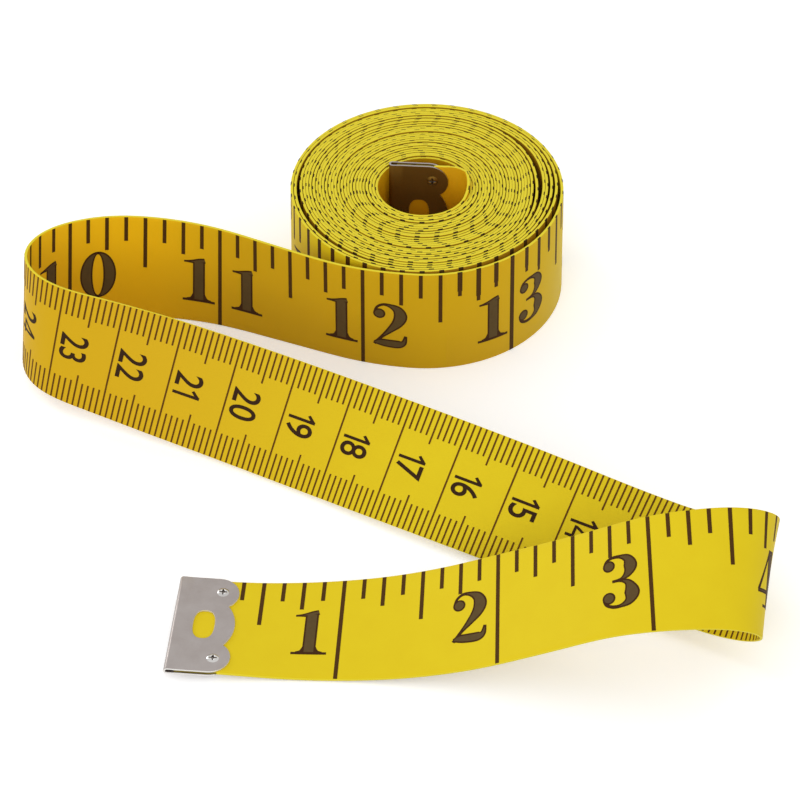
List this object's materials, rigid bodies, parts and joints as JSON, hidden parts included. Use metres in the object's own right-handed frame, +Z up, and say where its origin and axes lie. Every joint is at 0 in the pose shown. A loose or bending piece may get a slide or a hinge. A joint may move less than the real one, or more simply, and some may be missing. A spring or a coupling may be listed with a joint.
{
  "type": "cloth tape measure",
  "caption": "Flexible coated cloth measuring tape, part wound in a coil and part let out in loose bends, with folded metal end clips.",
  "frame": {"origin": "under the middle of the part's box, on the surface that the tape stands on", "axes": "+Z up across the standing tape, +Y from the loose front run back to the coil, +X to the right of someone who faces +Y"},
  "size_m": [0.1208, 0.1248, 0.0245],
  "materials": {
    "tape": "yellow coated cloth, satin, fine weave under the coating",
    "print": "dark brown printed scale, matt",
    "clip_metal": "satin tin-plated sheet, lightly scratched, bright cut edges"
  },
  "bodies": {
    "coil": {"tape_coil": "tape", "core_clip": "clip_metal"},
    "back_run": {"tape_back_run": "tape"},
    "middle_run": {"tape_middle_run": "tape", "tape_left_loop": "tape"},
    "front_run": {"tape_front_run": "tape", "tape_right_loop": "tape", "front_clip": "clip_metal"}
  },
  "joints": [
    {"name": "coil_peel", "type": "hinge", "parent": "coil", "child": "back_run", "pos_m": [0.00287, 0.01795, 0.00985], "axis": [0, 0, 1], "range_deg": [0, 30]},
    {"name": "left_bend", "type": "hinge", "parent": "back_run", "child": "middle_run", "pos_m": [-0.0477, 0.0199, 0.01], "axis": [0, 0, 1], "range_deg": [-45, 12], "deforming": ["tape_left_loop"]},
    {"name": "right_bend", "type": "hinge", "parent": "middle_run", "child": "front_run", "pos_m": [0.0508, -0.044, 0.01], "axis": [0, 0, 1], "range_deg": [-12, 45], "deforming": ["tape_right_loop"]}
  ]
}
